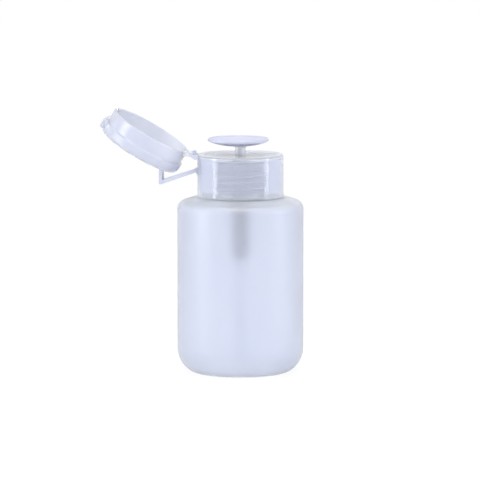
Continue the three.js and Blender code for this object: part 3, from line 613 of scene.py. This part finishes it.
# Lid: a shallow cup moulded with the collar, standing open on its two hinge ears. A band runs
# round its top, a thumb tab stands at the front, and a groove takes the strap when it is shut.
LID_RIM, LID_HEIGHT, LID_WALL, LID_CORNER = 104.5, 12.1, 1.1, 2.3
LID_SKIRT, LID_BAND, LID_BAND_START, LID_STEP, LID_EAR_BURIED = 20.0, 20.8, 7.0, 0.5, -19.0
TAB_PROUD, TAB_START, TAB_END, TAB_HALF, TAB_ROUND, TAB_EDGE = 1.1, 5.4, 10.4, 8.0, 1.3, 0.8
STRAP_END, GROOVE_SIDE, GROOVE_PAST = Vector((-12.5, 116.3)), 0.3, 0.2
HINGE = Vector((HINGE_X, 0, HINGE_Z)) * MM
open_turn = (Matrix.Translation(HINGE) @ Matrix.Rotation(-OPEN_ANGLE, 4, "Y")
             @ Matrix.Translation(-HINGE))
lid_top = LID_RIM + LID_HEIGHT
inner_wall = LID_SKIRT - LID_WALL

lid_shell = spin(outline([
    (0, lid_top - LID_WALL),
    (inner_wall, lid_top - LID_WALL, LID_CORNER - LID_WALL),
    (inner_wall, LID_RIM, 0.2),
    (LID_SKIRT, LID_RIM, 0.25),
    (LID_SKIRT, LID_RIM + LID_BAND_START - LID_STEP, 0.2),
    (LID_BAND, LID_RIM + LID_BAND_START, 0.3),
    (LID_BAND, lid_top, LID_CORNER),
    (0, lid_top),
]))

tab_x, tab_rounds = LID_BAND + TAB_PROUD - TAB_ROUND, (TAB_ROUND, TAB_ROUND)
tab = slab([
    (LID_BAND - LID_CORNER, LID_RIM + TAB_START),
    *arc((tab_x, LID_RIM + TAB_START + TAB_ROUND), tab_rounds, -90, 0, 10),
    *arc((tab_x, LID_RIM + TAB_END - TAB_ROUND), tab_rounds, 0, 90, 10),
    (LID_BAND - LID_CORNER, LID_RIM + TAB_END)], 2 * TAB_HALF, edge=TAB_EDGE)
ear_bottom = HINGE_Z + PARTING / 2
lid_ears = [slab([
    (LID_EAR_BURIED, LID_RIM), (LID_EAR_BURIED, ear_bottom + EAR_ROOT),
    (-LID_SKIRT, ear_bottom + EAR_ROOT), (HINGE_X, ear_bottom + EAR_THICKNESS),
    (HINGE_X, ear_bottom), (-COLLAR_RADIUS - LID_RIM + ear_bottom, ear_bottom),
    (-COLLAR_RADIUS, LID_RIM)], EAR_WIDTH, side * (EAR_INNER + EAR_WIDTH / 2))
    for side in (1, -1)]
knee_shut = Vector((STRAP_ROOT.x, STRAP_ROOT.y + (STRAP_KNEE - STRAP_ROOT).length))
along = (knee_shut - STRAP_END).normalized()
down = Vector((-along.y, along.x))


def under_strap(depth, past):
    """The corner below the shut strap's end at a depth, some way past it, and the line that
    runs back from that corner."""
    near = STRAP_END - along * past + down * depth
    return near, lambda x: (x, near.y + (x - near.x) * along.y / along.x)


drop = STRAP_THICKNESS / 2 + PARTING
floor_near, floor_at = under_strap(drop, GROOVE_PAST)
groove = slab([floor_at(HINGE_X), tuple(floor_near), (floor_near.x, lid_top + CUT_PAST),
               (HINGE_X, lid_top + CUT_PAST)], STRAP_WIDTH + 2 * GROOVE_SIDE, edge=0)
wall_near, wall_at = under_strap(drop + LID_WALL, GROOVE_PAST + LID_WALL)
backing_x, inner_corner = -LID_SKIRT + LID_WALL / 2, LID_CORNER - LID_WALL
backing = slab([
    wall_at(backing_x), tuple(wall_near), (wall_near.x, lid_top - LID_WALL / 2),
    (backing_x + inner_corner, lid_top - LID_WALL / 2),
    (backing_x, lid_top - LID_WALL - inner_corner)],
    STRAP_WIDTH + 2 * (GROOVE_SIDE + LID_WALL), edge=0)
lid_mesh = fused(lid_shell, [tab, *lid_ears, backing], [groove])
bmesh.ops.transform(lid_mesh, matrix=open_turn, verts=lid_mesh.verts)

# Polypropylene from the same shot: hazier where it is not backed, satin below a polished surface
# whose shallow flow ripples break a lamp's light into fine strokes. It is painted paler towards the
# hinge, a painted light against the shade where the wall is seen on edge.
satin_polypropylene = natural_plastic(
    "satin_polypropylene", light="#e4e7f4", deep="#e0e4f1", clear=0.7, rough=0.32, ior=1.3,
    fades=[("X", -42, -33, "#f3f5ff", None)], cloud_mm=14, grain_mm=3.0, grain=0.002, coat=0.6,
    bump=flutes(130, 0.014, open_turn.translation, -OPEN_ANGLE))
piece("flip_lid", lid_mesh, satin_polypropylene, "lid", ["lid"])

# Hinge lines: where the ears of collar and lid meet, the same polypropylene thins to a bead
# that flexes. Each bead is a little narrower than its ears, so that no faces coincide.
BEAD_RADIUS, BEAD_LIFT, BEAD_NARROWER, BAR_TURN = 0.95, 0.3, 0.1, 32


def round_bar(centre, radius, width, centre_y=0.0):
    """A round bar along Y about a point in X and Z, in mm."""
    bar = bmesh.new()
    bmesh.ops.create_cone(bar, cap_ends=True, segments=BAR_TURN, radius1=radius * MM,
                          radius2=radius * MM, depth=width * MM)
    bmesh.ops.rotate(bar, verts=bar.verts, cent=(0, 0, 0),
                     matrix=Matrix.Rotation(math.pi / 2, 3, "X"))
    bmesh.ops.translate(bar, verts=bar.verts, vec=Vector((centre[0], centre_y, centre[1])) * MM)
    return bar


for side, hand in ((1, "back"), (-1, "front")):
    piece(f"hinge_bead_{hand}",
          round_bar((HINGE_X, HINGE_Z + BEAD_LIFT), BEAD_RADIUS, EAR_WIDTH - BEAD_NARROWER,
                    side * (EAR_INNER + EAR_WIDTH / 2)),
          hazy_polypropylene, "closure", [])

# Spring strap: a band of the same moulding that runs from the collar down to a knee and up
# into the lid's groove, and snaps the lid open or shut. Its back run and the bead at its end
# are a little narrower than its front run, so that no faces coincide.
KNEE_HALF, END_RADIUS, BACK_NARROWER, END_NARROWER = 0.95, 0.9, 0.1, 0.4
strap_end_open = (open_turn @ Vector((STRAP_END.x * MM, 0, STRAP_END.y * MM))) / MM
strap_end_open = Vector((strap_end_open.x, strap_end_open.z))


def band(start, end, start_half, end_half):
    """A flat band between two points in X and Z, with rounded ends of two thicknesses."""
    run = end - start
    angle = math.degrees(math.atan2(run.y, run.x))
    return slab([*arc(tuple(end), (end_half, end_half), angle - 90, angle + 90, 8),
                 *arc(tuple(start), (start_half, start_half), angle + 90, angle + 270, 8)],
                STRAP_WIDTH, edge=0.1)


sag = Vector((0, -STRAP_SAG))
piece("strap_front_run", band(STRAP_ROOT + sag, STRAP_KNEE + sag, strap_half, KNEE_HALF),
      hazy_polypropylene, "strap_lower", ["strap_lower_arm"])
upper_mesh = band(STRAP_KNEE + sag, strap_end_open, KNEE_HALF - PLAY, strap_half)
for v in upper_mesh.verts:
    v.co.y *= 1 - BACK_NARROWER / STRAP_WIDTH
piece("strap_back_run", upper_mesh, hazy_polypropylene, "strap_upper", ["strap_upper_arm"])
piece("strap_end_bead", round_bar(strap_end_open, END_RADIUS, STRAP_WIDTH - END_NARROWER),
      hazy_polypropylene, "lid", [])

# Studio, in metres and watts: a plain white floor and surround, two tall soft lights beside
# the object, one above it, a broad weak one over the lens, and a long lens at the photograph's
# angle.
VIEW_AZIMUTH, VIEW_ELEVATION, VIEW_DISTANCE = math.radians(8), math.radians(7), 2.5
FIELD_WIDTH, AIM_HEIGHT, AIM_SIDE, SENSOR_MM, FAR_CLIP = 0.2285, 0.0631, -0.0002, 36, 20
FLOOR_SIZE, PAPER_TONE, PAPER_SHOWN = 3.0, (0.93, 0.93, 0.94, 1), 0.93
WHITE, SURROUND_STRENGTH, BOUNCES = (1, 1, 1, 1), 1.08, 48
SIDE_REACH, SIDE_HEIGHT, SIDE_TALL = 0.6, 0.16, 0.5
TOP_PLACE, TOP_AIM_HEIGHT, TOP_WIDTH = Vector((0.05, -0.25, 0.75)), 0.07, 0.5
FRONT_REACH, FRONT_LIFT, FRONT_WIDTH = 1.2, 0.6, 1.2


def seen_directly(tree):
    """One for rays from the camera, in a mirror or through the plastic, else zero."""
    path = add(tree, "ShaderNodeLightPath")
    total = path.outputs["Is Camera Ray"]
    for kind in ("Is Glossy Ray", "Is Transmission Ray"):
        total = add(tree, "ShaderNodeMath", {0: total, 1: path.outputs[kind]},
                    operation="MAXIMUM").outputs[0]
    return total


floor = bmesh.new()
bmesh.ops.create_grid(floor, x_segments=1, y_segments=1, size=FLOOR_SIZE)
floor_paper = bpy.data.meshes.new("floor")
floor.to_mesh(floor_paper)
floor.free()
floor_object = bpy.data.objects.new("floor", floor_paper)
bpy.context.scene.collection.objects.link(floor_object)
paper = bpy.data.materials.new("white_paper")
paper.use_nodes = True
paper_tree = paper.node_tree
paper_tree.nodes.clear()
paper_matt = add(paper_tree, "ShaderNodeBsdfDiffuse", {"Color": PAPER_TONE})
paper_glow = add(paper_tree, "ShaderNodeEmission", {"Color": WHITE, "Strength": 1.0})
paper_seen = add(paper_tree, "ShaderNodeMath", {0: seen_directly(paper_tree), 1: PAPER_SHOWN},
                 operation="MULTIPLY")
paper_mix = add(paper_tree, "ShaderNodeMixShader", {
    0: paper_seen.outputs[0], 1: paper_matt.outputs[0], 2: paper_glow.outputs[0]})
add(paper_tree, "ShaderNodeOutputMaterial", {"Surface": paper_mix.outputs[0]})
floor_paper.materials.append(paper)

world = bpy.data.worlds.new("surround")
bpy.context.scene.world = world
world.use_nodes = True
sky = world.node_tree
sky.nodes.clear()
sky_light = add(sky, "ShaderNodeBackground", {"Color": WHITE, "Strength": SURROUND_STRENGTH})
sky_seen = add(sky, "ShaderNodeBackground", {"Color": WHITE, "Strength": 1.0})
sky_mix = add(sky, "ShaderNodeMixShader", {0: seen_directly(sky), 1: sky_light.outputs[0],
                                           2: sky_seen.outputs[0]})
add(sky, "ShaderNodeOutputWorld", {"Surface": sky_mix.outputs[0]})

back = Vector((math.sin(VIEW_AZIMUTH) * math.cos(VIEW_ELEVATION),
               -math.cos(VIEW_AZIMUTH) * math.cos(VIEW_ELEVATION), math.sin(VIEW_ELEVATION)))
right = Vector((math.cos(VIEW_AZIMUTH), math.sin(VIEW_AZIMUTH), 0))
aim = right * AIM_SIDE + Vector((0, 0, AIM_HEIGHT))


def soft_light(name, shape, size, watts, place, facing):
    """A soft light at a place, turned against a direction, that neither lens nor plastic shows."""
    light = bpy.data.lights.new(name, "AREA")
    light.shape, light.energy = shape, watts
    light.size, light.size_y = size
    lamp = bpy.data.objects.new(name, light)
    lamp.location = place
    lamp.rotation_mode = "QUATERNION"
    lamp.rotation_quaternion = facing.to_track_quat("Z", "Y")
    lamp.visible_camera = False
    lamp.visible_transmission = False
    bpy.context.scene.collection.objects.link(lamp)


for name, turn, width, watts in (
    ("left_soft_light", -72, 0.12, 1.75), ("right_soft_light", 75, 0.10, 1.2),
):
    facing = Matrix.Rotation(math.radians(turn), 3, "Z") @ Vector((back.x, back.y, 0))
    soft_light(name, "RECTANGLE", (width, SIDE_TALL), watts,
               facing.normalized() * SIDE_REACH + Vector((0, 0, SIDE_HEIGHT)), facing)
soft_light("top_soft_light", "DISK", (TOP_WIDTH, TOP_WIDTH), 2.3, TOP_PLACE,
           TOP_PLACE - Vector((0, 0, TOP_AIM_HEIGHT)))
front_place = back * FRONT_REACH + Vector((0, 0, FRONT_LIFT))
soft_light("front_soft_light", "DISK", (FRONT_WIDTH, FRONT_WIDTH), 1.2, front_place, front_place)

lens = bpy.data.cameras.new("long_lens")
lens.sensor_width = SENSOR_MM
lens.lens = SENSOR_MM * VIEW_DISTANCE / FIELD_WIDTH
lens.clip_end = FAR_CLIP
camera = bpy.data.objects.new("camera", lens)
camera.location = aim + back * VIEW_DISTANCE
camera.rotation_mode = "QUATERNION"
camera.rotation_quaternion = back.to_track_quat("Z", "Y")
bpy.context.scene.collection.objects.link(camera)
bpy.context.scene.camera = camera
bpy.context.scene.view_settings.view_transform = "Standard"
for kind in ("max_bounces", "transmission_bounces", "glossy_bounces", "diffuse_bounces"):
    setattr(bpy.context.scene.cycles, kind, BOUNCES)
